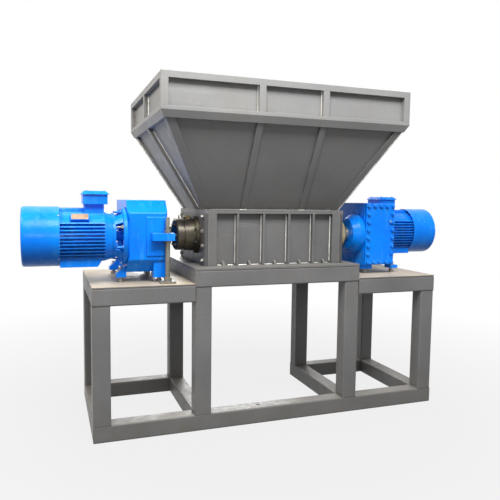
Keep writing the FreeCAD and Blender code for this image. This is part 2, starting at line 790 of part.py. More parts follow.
def hopper_panel(side, low, high, inset, thickness):
    """One sheet between two levels: side 0 is the front, then right, back and left."""
    rings = []
    for x, y, z in (low, high):
        outer = hopper_outline(x, y, z, inset)
        inner = hopper_outline(x, y, z, inset + thickness)
        i, j = side, (side + 1) % 4
        rings.append([outer[i], outer[j], inner[j], inner[i]])
    return polyhedron(rings[0], rings[1])


def build_hopper():
    throat = (chamber_x - throat_margin, wall_inside - throat_inset, chamber_top)
    rim_low = rim_top - rim_height
    bend = (rim_length / 2.0 - bar_proud, rim_depth / 2.0 - bar_proud, rim_low)
    mouth = (bend[0], bend[1], rim_top)
    for side, name in enumerate(("front", "right", "back", "left")):
        keep("hopper_" + name + "_panel", hopper_panel(side, throat, bend, 0.0, sheet))
    for names, sides in (("long", (0, 2)), ("short", (1, 3))):
        keep("rim_" + names + "_panels", *[hopper_panel(side, bend, mouth, 0.0, sheet) for side in sides])

    share = 1.0 - band_height / (rim_low - chamber_top)
    under_band = tuple(low + share * (high - low) for low, high in zip(throat, bend))

    def rail(side, low, high):
        """A bar that stands proud of the sheet all along one side, between two levels."""
        return hopper_panel(side, (low[0] + bar_proud, low[1] + bar_proud, low[2]),
                            (high[0] + bar_proud, high[1] + bar_proud, high[2]), 0.0, bar_proud)

    strip_top = (bend[0], bend[1], rim_low + strip_height)
    rail_low = (bend[0], bend[1], rim_top - rail_height)
    for names, sides in (("long", (0, 2)), ("short", (1, 3))):
        lower = [fused([rail(side, under_band, bend), rail(side, bend, strip_top)]) for side in sides]
        keep("rim_" + names + "_rails", *[rail(side, rail_low, mouth) for side in sides], *lower)

    post_low, post_high = strip_top[2], rail_low[2]
    posts = []
    for sx in (-1, 1):
        for sy in (-1, 1):
            x, y = sx * rim_length / 2.0, sy * rim_depth / 2.0
            posts.append(prism([Vector(x, y, post_low), Vector(x - sx * bar_width, y, post_low),
                                Vector(x - sx * bar_width, sy * bend[1], post_low),
                                Vector(sx * bend[0], sy * bend[1], post_low),
                                Vector(sx * bend[0], y - sy * bar_width, post_low),
                                Vector(x, y - sy * bar_width, post_low)],
                               Vector(0.0, 0.0, post_high - post_low)))
    front_post = box(Vector(-bar_width / 2.0, -rim_depth / 2.0, post_low),
                     Vector(bar_width / 2.0, -bend[1], post_high))
    for x in (-mid_post_x, mid_post_x):
        post = front_post.translated(Vector(x, 0.0, 0.0))
        posts += [post, mirrored(post, Y)]
    end_post = box(Vector(-rim_length / 2.0, -bar_width / 2.0, post_low),
                   Vector(-bend[0], bar_width / 2.0, post_high))
    keep("rim_posts", *posts, end_post, mirrored(end_post, X))

    slope_ends = ((throat, slope_bar_low), (under_band, slope_bar_high))
    angles = []
    for sx in (-1, 1):
        for sy in (-1, 1):
            rings = []
            for (x, y, z), proud in slope_ends:
                cx, cy = sx * (x + proud), sy * (y + proud)
                rings.append([Vector(cx, cy, z), Vector(cx - sx * angle_leg, cy, z),
                              Vector(cx - sx * angle_leg, sy * y, z), Vector(sx * x, sy * y, z),
                              Vector(sx * x, cy - sy * angle_leg, z), Vector(cx, cy - sy * angle_leg, z)])
            angles.append(polyhedron(rings[0], rings[1]))
    keep("hopper_corner_angles", *angles)

    # The rib on each side leans towards the corner of the throat by the closed bearing
    half = bar_width / 2.0
    ribs = []
    for x_rib in (-mid_post_x, mid_post_x):
        rings = [[Vector(x_rib - half, -y, z), Vector(x_rib + half, -y, z),
                  Vector(x_rib + half, -y - proud, z), Vector(x_rib - half, -y - proud, z)]
                 for (_, y, z), proud in slope_ends]
        rib = polyhedron(rings[0], rings[1])
        ribs += [rib, mirrored(rib, Y)]
    rings = [[Vector(-x, y - half, z), Vector(-x, y + half, z),
              Vector(-x - bar_proud, y + half, z), Vector(-x - bar_proud, y - half, z)]
             for (x, _, z), y in ((throat, side_rib_inset + half - throat[1]), (under_band, 0.0))]
    side_rib = polyhedron(rings[0], rings[1])
    keep("hopper_ribs", *ribs, side_rib, turned(side_rib))


build_frame()
build_chamber()
build_rotors()
build_bearings()
build_gear_unit()
build_gear_feet()
build_motor()
build_hopper()

os.makedirs("parts", exist_ok=True)
for node, shape in shapes.items():
    shape.exportStep("parts/" + node + ".step")
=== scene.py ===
import math
import random

import bmesh
import bpy
from mathutils import Matrix, Vector


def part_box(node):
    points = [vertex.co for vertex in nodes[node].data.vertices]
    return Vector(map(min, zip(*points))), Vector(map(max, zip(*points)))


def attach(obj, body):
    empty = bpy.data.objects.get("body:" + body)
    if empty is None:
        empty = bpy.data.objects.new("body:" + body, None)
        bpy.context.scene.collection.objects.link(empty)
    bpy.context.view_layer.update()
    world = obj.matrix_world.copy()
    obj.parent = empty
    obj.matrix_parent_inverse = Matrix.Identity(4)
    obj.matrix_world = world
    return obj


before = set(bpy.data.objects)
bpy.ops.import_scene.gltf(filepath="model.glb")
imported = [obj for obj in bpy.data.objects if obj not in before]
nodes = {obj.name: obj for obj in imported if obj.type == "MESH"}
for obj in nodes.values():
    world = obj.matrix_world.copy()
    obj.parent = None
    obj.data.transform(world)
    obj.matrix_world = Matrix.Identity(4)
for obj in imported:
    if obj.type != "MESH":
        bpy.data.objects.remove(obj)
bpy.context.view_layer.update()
random.seed(7)

# The photograph's camera, fitted to the corners of the frame, the chamber and the hopper
camera_place = Vector((-1.3392, -3.5538, 1.3662))
camera_yaw = math.radians(19.81)
camera_pitch = math.radians(4.88)
camera_roll = math.radians(0.74)
camera_lens = 40.05

# Fasteners, by the distance across the flats of their heads
small_bolt = 0.013
bolt = 0.019
screw_radius = 0.0045
bolt_thread = 0.024
bolt_thread_pitch = 0.0022
stud_thread_pitch = 0.0025

# Radii of weld beads, and the pitch of their ripples and of short beads
rib_bead = 0.0056
post_bead = 0.0052
end_post_bead = 0.0050
corner_bead = 0.0045
seam_bead = 0.0042
foot_bead = 0.0040
thin_bead = 0.0036
fold_bead = 0.0034
edge_bead = 0.0032
top_bead = 0.0030
ground_bead = 0.0014
bead_step = 0.011
stitch = 0.055
stitch_pitch = 0.15

# Machine sizes that the boxes of the nodes don't give
shaft_y = 0.120
bearing_flange = 0.026
bearing_bolt_circle = 0.107
bearing_cap_circle = 0.070
nipple_inset = 0.060
nipple_rise = 0.097
end_bolt_y = 0.282
end_bolt_low = 1.010
end_bolt_high = 1.277
end_bolt_rows = 4
cover_bolt_inset = 0.017
cover_bolts_across = 5
cover_bolts_up = 8
glass_inset = 0.034
glass_z = 1.249
glass_radius = 0.0105
input_stud_circle = 0.151
seen_stud_reach = 0.1
lantern_bolt_circle = 0.123
lantern_flange = 0.026
lantern_ring = 0.014
lid_screw_inset = 0.030
cowl_screw_inset = 0.006
cowl_screw_sink = 0.0004
nameplate_x = -1.182
nameplate_rise = 0.164
nameplate_half_x = 0.046
nameplate_half_up = 0.020
nameplate_corner = 0.004
rivet_inset = 0.006
rib_count = 4
rib_spacing = 0.171
rib_width = 0.014
rib_proud = 0.035
end_post = 0.050
tab_half_gap = 0.014
post_width = 0.040
corner_proud = 0.028
mid_post_x = 0.200
side_rib_throat_y = -0.165
sheet = 0.006
lower_strip = 0.020
upper_rail = 0.036
rib_start = 0.02
rib_end = 0.9
tube = 0.100
inner_foot_studs = ((-0.730, -0.256), (-0.730, 0.176))
outer_foot_studs = ((-0.949, -0.201), (-0.949, 0.176))
foot_low = 0.917
foot_top = 0.939
stud_top = 0.973
tie_rod = (-0.694, -0.3425)
tie_rod_top = 1.274
nut_corner = 0.019
nut_height = 0.016
stud_radius = 0.011
skin_gap = 0.0006


def srgb(red, green, blue):
    """A colour written as on a screen, 0 to 255, turned into linear values."""
    linear = []
    for part in (red, green, blue):
        value = part / 255.0
        linear.append(value / 12.92 if value <= 0.04045 else ((value + 0.055) / 1.055) ** 2.4)
    return (*linear, 1.0)


# Materials
class Shader:
    """A Principled material, with short calls for the nodes that its finish is made of."""

    def __init__(self, name):
        self.material = bpy.data.materials.new(name)
        self.material.use_nodes = True
        self.tree = self.material.node_tree
        self.surface = self.tree.nodes["Principled BSDF"]
        self.place = self.node("ShaderNodeTexCoord").outputs["Object"]

    def node(self, kind):
        return self.tree.nodes.new(kind)

    def join(self, value, socket):
        """Links an output to a socket, or writes a plain number or colour there."""
        if isinstance(value, bpy.types.NodeSocket):
            self.tree.links.new(value, socket)
        else:
            socket.default_value = value

    def stretched(self, scale):
        node = self.node("ShaderNodeMapping")
        self.join(self.place, node.inputs["Vector"])
        node.inputs["Scale"].default_value = scale
        return node.outputs["Vector"]

    def noise(self, scale, detail=4.0, roughness=0.55, vector=None):
        node = self.node("ShaderNodeTexNoise")
        self.join(vector or self.place, node.inputs["Vector"])
        node.inputs["Scale"].default_value = scale
        node.inputs["Detail"].default_value = detail
        node.inputs["Roughness"].default_value = roughness
        return node.outputs["Fac"]

    def spread(self, value, low, high, to_low=0.0, to_high=1.0):
        """The value between low and high, stretched to another range and held inside it."""
        node = self.node("ShaderNodeMapRange")
        self.join(value, node.inputs["Value"])
        node.inputs["From Min"].default_value = low
        node.inputs["From Max"].default_value = high
        node.inputs["To Min"].default_value = to_low
        node.inputs["To Max"].default_value = to_high
        return node.outputs["Result"]

    def math(self, operation, first, second=0.0):
        node = self.node("ShaderNodeMath")
        node.operation = operation
        self.join(first, node.inputs[0])
        self.join(second, node.inputs[1])
        return node.outputs[0]

    def times(self, first, second):
        return self.math("MULTIPLY", first, second)

    def mix(self, amount, first, second):
        node = self.node("ShaderNodeMix")
        node.data_type = "RGBA"
        self.join(amount, node.inputs["Factor"])
        self.join(first, node.inputs["A"])
        self.join(second, node.inputs["B"])
        return node.outputs["Result"]

    def up(self):
        """How far the surface faces up, from -1 to 1."""
        parts = self.node("ShaderNodeSeparateXYZ")
        self.join(self.node("ShaderNodeNewGeometry").outputs["Normal"], parts.inputs[0])
        return parts.outputs["Z"]

    def height(self):
        parts = self.node("ShaderNodeSeparateXYZ")
        self.join(self.place, parts.inputs[0])
        return parts.outputs["Z"]

    def edges(self, radius):
        """A mask that is high along the outer edges of the piece, and the rounded normal."""
        bevel = self.node("ShaderNodeBevel")
        bevel.samples = 4
        bevel.inputs["Radius"].default_value = radius
        product = self.node("ShaderNodeVectorMath")
        product.operation = "DOT_PRODUCT"
        self.join(bevel.outputs["Normal"], product.inputs[0])
        self.join(self.node("ShaderNodeNewGeometry").outputs["Normal"], product.inputs[1])
        return self.spread(product.outputs["Value"], 0.985, 0.8), bevel.outputs["Normal"]

    def shaded_hollows(self, distance):
        """A mask that is high in corners and under overhangs, where it paints shade."""
        node = self.node("ShaderNodeAmbientOcclusion")
        node.samples = 4
        node.inputs["Distance"].default_value = distance
        return self.spread(node.outputs["AO"], 0.85, 0.35)

    def bump(self, heights, strength, distance, normal=None):
        node = self.node("ShaderNodeBump")
        node.inputs["Strength"].default_value = strength
        node.inputs["Distance"].default_value = distance
        self.join(heights, node.inputs["Height"])
        if normal is not None:
            self.join(normal, node.inputs["Normal"])
        self.join(node.outputs["Normal"], self.surface.inputs["Normal"])

    def finish(self, colour, roughness, metallic=0.0, specular=0.5):
        self.join(colour, self.surface.inputs["Base Color"])
        self.join(roughness, self.surface.inputs["Roughness"])
        self.surface.inputs["Metallic"].default_value = metallic
        self.surface.inputs["Specular IOR Level"].default_value = specular
        return self.material


def grey_paint(name, colour, shade, warmth, dust, edge_colour, dust_share=1.0, waviness=0.0,
               shade_heights=None):
    """Sprayed enamel over plate: cloudy, orange peel, scuffs, dust on top and rubbed edges, with painted
    shade in corners, under overhangs and, where heights are given, towards the bottom.
    """
    shader = Shader(name)
    cloud = shader.spread(shader.noise(2.2, 5.0), 0.3, 0.7)
    speck = shader.noise(85.0, 3.0, 0.7)
    streak = shader.noise(9.0, 4.0, 0.6, shader.stretched((1.0, 1.0, 0.14)))
    body = shader.mix(cloud, colour, shade)
    body = shader.mix(shader.spread(streak, 0.48, 0.78, 0.0, 0.45), body, warmth)
    body = shader.mix(shader.spread(speck, 0.55, 0.75, 0.0, 0.2), body, edge_colour)
    scuff = shader.noise(5.0, 6.0, 0.7, shader.stretched((0.5, 0.5, 2.6)))
    body = shader.mix(shader.spread(scuff, 0.6, 0.72, 0.0, 0.3), body, edge_colour)
    floor_dirt = shader.times(shader.spread(shader.height(), 0.35, 0.0),
                              shader.spread(shader.noise(14.0), 0.35, 0.65))
    body = shader.mix(shader.times(floor_dirt, 0.6), body, warmth)
    # Painted shade: between the two given heights the paint darkens towards the lower one.
    if shade_heights:
        lower_shade = shader.times(shader.spread(shader.height(), *shade_heights),
                            shader.spread(cloud, 0.0, 1.0, 0.35, 0.6))
        body = shader.mix(lower_shade, body, srgb(84, 83, 82))
    edge, normal = shader.edges(0.004)
    rubbed = shader.times(edge, shader.spread(shader.noise(34.0), 0.36, 0.6, 0.15, 0.8))
    body = shader.mix(rubbed, body, edge_colour)
    lying = shader.times(shader.spread(shader.up(), 0.6, 0.95),
                         shader.spread(shader.noise(6.0, 6.0, 0.65), 0.25, 0.6, 0.55, 1.0))
    lying = shader.times(lying, shader.spread(shader.height(), 0.1, 0.7, 0.15, 1.0))
    body = shader.mix(shader.times(lying, dust_share), body, dust)
    # Painted shade: the enamel darkens in corners and under overhangs.
    hollow_shade = shader.times(shader.shaded_hollows(0.03),
                         shader.spread(shader.noise(24.0, 5.0), 0.3, 0.6, 0.1, 0.5))
    body = shader.mix(hollow_shade, body, srgb(70, 66, 60))
    peel = shader.math("ADD", shader.times(shader.noise(420.0, 2.0), 0.35), shader.noise(11.0, 3.0))
    if waviness:
        peel = shader.math("ADD", peel, shader.times(shader.noise(3.2, 2.0, 0.4), waviness))
    shader.bump(peel, 0.22, 0.0016, normal)
    rough = shader.spread(shader.noise(22.0), 0.3, 0.7, 0.36, 0.56)
    return shader.finish(body, rough, specular=0.35)


def blue_paint(name, colour, shade, light, dust):
    """Glossy enamel on castings: thick and thin places, drips, dust on top and chipped edges, with a painted
    highlight along the edges and painted shade in corners.
    """
    shader = Shader(name)
    cloud = shader.spread(shader.noise(6.0, 4.0), 0.32, 0.68)
    drip = shader.noise(24.0, 3.0, 0.5, shader.stretched((1.0, 1.0, 0.2)))
    body = shader.mix(cloud, colour, shade)
    body = shader.mix(shader.spread(drip, 0.54, 0.74, 0.0, 0.45), body, light)
    edge, normal = shader.edges(0.003)
    # Painted highlight: the edges are lightened with the third colour.
    body = shader.mix(shader.times(edge, shader.spread(shader.noise(40.0), 0.4, 0.62, 0.2, 0.85)),
                      body, light)
    lying = shader.times(shader.spread(shader.up(), 0.75, 0.98),
                         shader.spread(shader.noise(9.0, 5.0), 0.35, 0.7, 0.1, 0.5))
    body = shader.mix(lying, body, dust)
    # Painted shade: the enamel turns dark blue in corners and under overhangs.
    hollow_shade = shader.times(shader.shaded_hollows(0.025),
                         shader.spread(shader.noise(30.0, 5.0), 0.35, 0.6, 0.1, 0.55))
    body = shader.mix(hollow_shade, body, srgb(10, 34, 80))
    chip = shader.times(edge, shader.spread(shader.noise(95.0, 2.0), 0.62, 0.68))
    body = shader.mix(chip, body, srgb(126, 112, 98))
    grain = shader.math("ADD", drip, shader.times(shader.noise(17.0, 2.0), 0.9))
    grain = shader.math("ADD", shader.times(shader.noise(150.0, 3.0), 0.45), grain)
    shader.bump(grain, 0.34, 0.0018, normal)
    rough = shader.spread(shader.noise(30.0), 0.3, 0.7, 0.2, 0.34)
    return shader.finish(body, shader.math("ADD", rough, shader.times(lying, 0.3)), specular=0.18)


def bare_metal(name, colour, stain, roughness, scratch_scale, metallic=0.85, rust=0.0):
    """Turned or sawn metal: fine scratches, oil stains and, where asked, rust freckles."""
    shader = Shader(name)
    scratch = shader.noise(scratch_scale, 3.0, 0.6, shader.stretched((1.0, 6.0, 6.0)))
    body = shader.mix(shader.spread(shader.noise(16.0, 5.0), 0.35, 0.68), colour, stain)
    edge, normal = shader.edges(0.0015)
    body = shader.mix(shader.times(edge, 0.5), body, colour)
    if rust:
        freckle = shader.times(shader.spread(shader.noise(55.0, 6.0, 0.7), 0.54, 0.66), rust)
        body = shader.mix(freckle, body, srgb(112, 70, 40))
    shader.bump(scratch, 0.16, 0.0006, normal)
    rough = shader.spread(scratch, 0.3, 0.7, roughness - 0.08, roughness + 0.14)
    return shader.finish(body, rough, metallic)


frame_paint = grey_paint("frame enamel", srgb(118, 118, 118), srgb(102, 102, 103), srgb(108, 103, 94),
                         srgb(156, 145, 126), srgb(142, 141, 138))
deck_paint = grey_paint("deck enamel", srgb(126, 124, 120), srgb(112, 109, 104), srgb(128, 112, 90),
                        srgb(182, 168, 146), srgb(150, 147, 140))
plate_paint = grey_paint("clean deck enamel", srgb(120, 119, 117), srgb(108, 107, 105), srgb(116, 108, 96),
                         srgb(112, 110, 106), srgb(134, 133, 130), dust_share=0.6)
chamber_paint = grey_paint("chamber enamel", srgb(112, 112, 112), srgb(95, 95, 96), srgb(110, 105, 95),
                           srgb(126, 122, 112), srgb(150, 149, 146), dust_share=0.7)
# The chamber's end plates: a darker copy of the chamber enamel, which paints the shade that falls on the
# ends.
shaded_end_paint = grey_paint("shaded end plate enamel", srgb(86, 86, 88), srgb(70, 70, 73), srgb(80, 75, 66),
                       srgb(100, 96, 88), srgb(126, 125, 122))
rim_paint = grey_paint("rim enamel", srgb(143, 143, 142), srgb(130, 130, 130), srgb(134, 129, 118),
                       srgb(140, 138, 132), srgb(172, 171, 168), dust_share=0.5, waviness=5.0)
# The hopper's enamel darkens from 1.62 m down to 1.36 m: painted shade on the lower slope.
hopper_paint = grey_paint("hopper enamel", srgb(132, 132, 132), srgb(119, 119, 120), srgb(124, 120, 111),
                          srgb(140, 138, 132), srgb(154, 153, 150), dust_share=0.5, waviness=5.0,
                          shade_heights=(1.62, 1.36))
bead_paint = grey_paint("painted weld", srgb(136, 135, 132), srgb(118, 117, 115), srgb(124, 118, 106),
                        srgb(140, 137, 128), srgb(166, 165, 160))
# Bare bright beads on the roots that face the light, painted beads on the others: real welds with a painted
# highlight.
highlit_weld = bare_metal("highlit weld", srgb(226, 226, 222), srgb(176, 174, 166), 0.34, 60.0, 0.35)
# The third colour lightens the drips and is also the painted highlight on the edges.
drive_paint = blue_paint("drive enamel", srgb(3, 138, 252), srgb(4, 122, 244), srgb(70, 166, 250),
                         srgb(104, 158, 214))
bearing_iron = bare_metal("oily black casting", srgb(54, 50, 46), srgb(88, 82, 66), 0.34, 60.0, 0.5)
drive_iron = bare_metal("bare yellow metal", srgb(176, 166, 138), srgb(132, 120, 92), 0.34, 60.0, 0.5, 0.4)
zinc = bare_metal("zinc steel", srgb(172, 171, 165), srgb(130, 126, 116), 0.32, 90.0, 0.7)
rod_steel = bare_metal("oiled rod steel", srgb(134, 134, 128), srgb(104, 100, 86), 0.4, 70.0, 0.4, 0.4)
shaft_steel = bare_metal("turned steel", srgb(196, 190, 172), srgb(160, 148, 120), 0.28, 120.0)
cutter_steel = bare_metal("cutter steel", srgb(128, 126, 122), srgb(84, 80, 76), 0.36, 70.0, 0.85, 0.35)
plate_metal = bare_metal("bare nameplate", srgb(178, 150, 122), srgb(140, 112, 88), 0.45, 40.0, 0.3, 0.3)
brass = bare_metal("brass fitting", srgb(160, 134, 80), srgb(120, 98, 58), 0.32, 80.0)
sight_glass = bare_metal("oil sight glass", srgb(120, 170, 214), srgb(90, 140, 196), 0.14, 30.0, 0.0)

# The first word that a node's name holds gives its finish
finishes = [
    ("hopper_flange", chamber_paint), ("hopper", hopper_paint), ("rim", rim_paint),
    ("chamber_left_end", shaded_end_paint), ("chamber_right_end", shaded_end_paint), ("chamber", chamber_paint),
    ("scrapers", cutter_steel), ("cutters", cutter_steel),
    ("rotor_shaft", shaft_steel), ("idle_bearings", bearing_iron), ("drive_bearings", drive_iron),
    ("tie_rods", rod_steel), ("lugs", drive_paint), ("gear", drive_paint), ("motor", drive_paint),
    ("cowl", drive_paint), ("terminal", drive_paint), ("centre_deck_plate", plate_paint),
    ("side_deck_plates", deck_paint), ("", frame_paint),
]
for name, node in nodes.items():
    paint = next(material for word, material in finishes if word in name)
    node.data.materials.clear()
    node.data.materials.append(paint)


# Making small pieces
def basis(axis):
    """An axis of length 1 and two directions across it."""
    axis = Vector(axis).normalized()
    side = Vector((0.0, 0.0, 1.0)) if abs(axis.z) < 0.9 else Vector((1.0, 0.0, 0.0))
    first = side.cross(axis).normalized()
    return axis, first, axis.cross(first)


def ring_point(centre, axis, radius, angle):
    """A point of the circle round an axis."""
    axis, first, second = basis(axis)
    return Vector(centre) + (first * math.cos(angle) + second * math.sin(angle)) * radius


def skin(mesh, rings):
    """Joins rings of points with faces and closes both ends."""
    for low, high in zip(rings, rings[1:]):
        for i in range(len(low)):
            j = (i + 1) % len(low)
            mesh.faces.new((low[i], low[j], high[j], high[i]))
    mesh.faces.new(list(reversed(rings[0])))
    mesh.faces.new(rings[-1])


def lathe(mesh, place, axis, profile, sides, turn=0.0):
    """Adds a closed turned piece: profile is a list of (height along the axis, radius)."""
    axis = Vector(axis).normalized()
    rings = []
    for height, radius in profile:
        centre = Vector(place) + axis * height
        rings.append([mesh.verts.new(ring_point(centre, axis, radius, turn + 2.0 * math.pi * i / sides))
                      for i in range(sides)])
    skin(mesh, rings)


def hex_bolt(mesh, place, axis, across, thread_length=0.0):
    """A washer and a hexagon head, or a nut with the end of its thread."""
    corner = across / math.sqrt(3.0)
    washer = across * 0.12
    top = washer + across * 0.62
    turn = random.uniform(0.0, math.pi)
    rim = across * 0.8
    lathe(mesh, place, axis, [(0.0, rim), (washer * 0.8, rim), (washer, across * 0.76)], 18)
    chamfer = top - across * 0.08
    lathe(mesh, place, axis, [(washer, corner), (chamfer, corner), (top, corner * 0.84)], 6, turn)
    if thread_length:
        radius = across * 0.31
        profile = [(top, radius)]
        turns = int(thread_length / bolt_thread_pitch)
        for i in range(turns):
            height = top + thread_length * (i + 0.5) / turns
            profile.append((height, radius if i % 2 else radius * 0.88))
        lathe(mesh, place, axis, profile + [(top + thread_length, radius * 0.7)], 12)


def cap_screw(mesh, place, axis, radius):
    """A round screw head with a hollow in its top."""
    lathe(mesh, place, axis, [(0.0, radius), (radius * 0.6, radius), (radius * 0.8, radius * 0.8),
                              (radius * 0.7, radius * 0.45), (radius * 0.55, radius * 0.3)], 14)


def bead(mesh, start, end, radius):
    """A rippled weld bead from start to end."""
    start, end = Vector(start), Vector(end)
    axis = end - start
    count = max(2, int(axis.length / bead_step))
    rings = []
    for i in range(2 * count + 1):
        swell = radius * (1.0 if i % 2 else 0.74) * random.uniform(0.9, 1.1)
        middle = start.lerp(end, i / (2.0 * count))
        rings.append([mesh.verts.new(ring_point(middle, axis, swell, math.pi * k / 3.0))
                      for k in range(6)])
    skin(mesh, rings)


def stitches(mesh, start, end, radius):
    """Short beads at a steady pitch from start to end."""
    start, end = Vector(start), Vector(end)
    length = (end - start).length
    count = max(1, int(length / stitch_pitch))
    for i in range(count):
        middle = (i + 0.5) / count
        half = stitch / 2.0 / length
        bead(mesh, start.lerp(end, middle - half), start.lerp(end, middle + half), radius)


def bead_ring(mesh, low_x, high_x, low_y, high_y, z):
    """Beads round a square leg at one level."""
    points = [(low_x, low_y, z), (high_x, low_y, z), (high_x, high_y, z), (low_x, high_y, z)]
    for i in range(4):
        bead(mesh, points[i], points[(i + 1) % 4], ground_bead)


def doubled(mesh, way):
    """Adds a copy of everything so far: mirrored across x or y, or turned to the other end."""
    made = bmesh.ops.duplicate(mesh, geom=mesh.verts[:] + mesh.edges[:] + mesh.faces[:])
    sign_x, sign_y = {"x": (-1.0, 1.0), "y": (1.0, -1.0), "turn": (-1.0, -1.0)}[way]
    for item in made["geom"]:
        if isinstance(item, bmesh.types.BMVert):
            item.co.x *= sign_x
            item.co.y *= sign_y


def piece(name, mesh, material, ways=("turn",)):
    """Turns a bmesh and its copies into a named piece that rides with the machine."""
    for way in ways:
        doubled(mesh, way)
    bmesh.ops.recalc_face_normals(mesh, faces=mesh.faces)
    for face in mesh.faces:
        face.smooth = len(face.verts) == 4
    for edge in mesh.edges:
        edge.smooth = edge.calc_face_angle(0.0) < math.radians(35.0)
    data = bpy.data.meshes.new(name)
    mesh.to_mesh(data)
    mesh.free()
    data.materials.append(material)
    made = bpy.data.objects.new(name, data)
    bpy.context.scene.collection.objects.link(made)
    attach(made, "root")


def middle(name):
    low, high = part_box(name)
    return (low + high) / 2.0


def at_level(name, z):
    """The lowest and highest x and y of a node's corners at one level."""
    points = [corner.co for corner in nodes[name].data.vertices if abs(corner.co.z - z) < 0.0005]
    return (min(p.x for p in points), max(p.x for p in points),
            min(p.y for p in points), max(p.y for p in points))


# Drive units, made at the left end and turned to the right one
motor_axis = middle("left_fan_cowl")


def add_cover_bolts():
    low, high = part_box("left_gear_cover")
    edge = cover_bolt_inset
    width, rise = high.x - low.x - 2.0 * edge, high.z - low.z - 2.0 * edge
    mesh = bmesh.new()
    for i in range(cover_bolts_across):
        x = low.x + edge + width * i / (cover_bolts_across - 1)
        for z in (low.z + edge, high.z - edge):
            hex_bolt(mesh, (x, high.y, z), (0, 1, 0), bolt)
    for i in range(1, cover_bolts_up - 1):
        z = low.z + edge + rise * i / (cover_bolts_up - 1)
        for x in (low.x + edge, high.x - edge):
            hex_bolt(mesh, (x, high.y, z), (0, 1, 0), bolt)
    piece("gear_cover_bolts", mesh, drive_paint)

    glass_place = (low.x + glass_inset, high.y, glass_z)
    mesh = bmesh.new()
    lathe(mesh, glass_place, (0, 1, 0), [(0.0, 0.017), (0.007, 0.017), (0.009, 0.015), (0.009, 0.011),
                                         (0.005, glass_radius)], 24)
    piece("sight_glass_rings", mesh, drive_paint)
    mesh = bmesh.new()
    lathe(mesh, glass_place, (0, 1, 0), [(0.004, glass_radius), (0.0065, glass_radius), (0.0075, 0.008)], 24)
    piece("sight_glass_windows", mesh, sight_glass)


def add_lantern_studs():
    low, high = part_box("left_motor_flange")
    flange_centre = (high.x - lantern_flange, motor_axis.y, motor_axis.z)
    ring_centre = (low.x + lantern_ring, motor_axis.y, motor_axis.z)
    studs, painted, bolts = bmesh.new(), bmesh.new(), bmesh.new()
    for i in range(8):
        angle = math.pi * (i + 0.5) / 4.0
        place = ring_point(flange_centre, (-1, 0, 0), input_stud_circle, angle)
        bright = place.y < motor_axis.y - seen_stud_reach and place.z > motor_axis.z
        hex_bolt(studs if bright else painted, place, (-1, 0, 0), bolt, bolt_thread)
        place = ring_point(ring_centre, (1, 0, 0), lantern_bolt_circle, angle)
        hex_bolt(bolts, place, (1, 0, 0), small_bolt)
    piece("input_flange_studs", studs, zinc)
    piece("painted_flange_studs", painted, drive_paint)
    piece("motor_flange_bolts", bolts, drive_paint)


def add_motor_fittings():
    low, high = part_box("left_terminal_box")
    screws = bmesh.new()
    for x in (low.x + lid_screw_inset, high.x - lid_screw_inset):
        for y in (low.y + lid_screw_inset, high.y - lid_screw_inset):
            cap_screw(screws, (x, y, high.z), (0, 0, 1), screw_radius)
    cowl_low, cowl_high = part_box("left_fan_cowl")
    centre = Vector((cowl_high.x - cowl_screw_inset, motor_axis.y, motor_axis.z))
    radius = (cowl_high.z - cowl_low.z) / 2.0 - cowl_screw_sink
    for i in range(4):
        place = ring_point(centre, (1, 0, 0), radius, math.pi * (i + 0.5) / 2.0)
        cap_screw(screws, place, place - centre, screw_radius)
    piece("motor_screws", screws, zinc)

    plate, rivets = bmesh.new(), bmesh.new()
    face = Vector((0.0, -1.0, 1.0)).normalized()
    across = Vector((0.0, 1.0, 1.0)).normalized()
    centre = Vector((nameplate_x, motor_axis.y, motor_axis.z)) + face * nameplate_rise
    half_x, half_up, corner = nameplate_half_x, nameplate_half_up, nameplate_corner
    rings = []
    for rise, inset in ((-0.001, 0.0), (0.0011, 0.0), (0.0015, 0.0006)):
        ring = []
        for sx, sy in ((-1, -1), (1, -1), (1, 1), (-1, 1)):
            steps = ((half_x - corner, half_up), (half_x, half_up - corner))
            for dx, dy in (steps if sx * sy < 0 else steps[::-1]):
                ring.append(plate.verts.new(centre + Vector((sx * (dx - inset), 0.0, 0.0))
                                            + across * sy * (dy - inset) + face * rise))
        rings.append(ring)
    skin(plate, rings)
    for sx in (-1, 1):
        for sy in (-1, 1):
            place = centre + Vector((sx * (half_x - rivet_inset), 0.0, 0.0))
            place += across * sy * (half_up - rivet_inset)
            lathe(rivets, place + face * 0.0012, face,
                  [(0.0, 0.0026), (0.0012, 0.0022), (0.0018, 0.001)], 10)
    piece("bare_nameplates", plate, plate_metal)
    piece("nameplate_rivets", rivets, zinc)


def nut_skin(mesh, x, y, z):
    """The outside of one of the machine's own nuts, which stands on the level z."""
    corner = nut_corner + skin_gap
    lathe(mesh, (x, y, z), (0, 0, 1), [(0.0, corner), (nut_height - 0.001, corner),
                                       (nut_height + skin_gap, corner * 0.9)], 6, math.pi / 2.0)


def thread(mesh, x, y, low, high):
    """The thread round one of the machine's own plain studs."""
    count = int((high - low) / stud_thread_pitch)
    profile = []
    for i in range(count + 1):
        proud = skin_gap if i % 2 else 2.0 * skin_gap
        profile.append(((high - low) * i / count, stud_radius + proud))
    profile.append((high - low + skin_gap, stud_radius * 0.85))
    lathe(mesh, (x, y, low), (0, 0, 1), profile, 14)


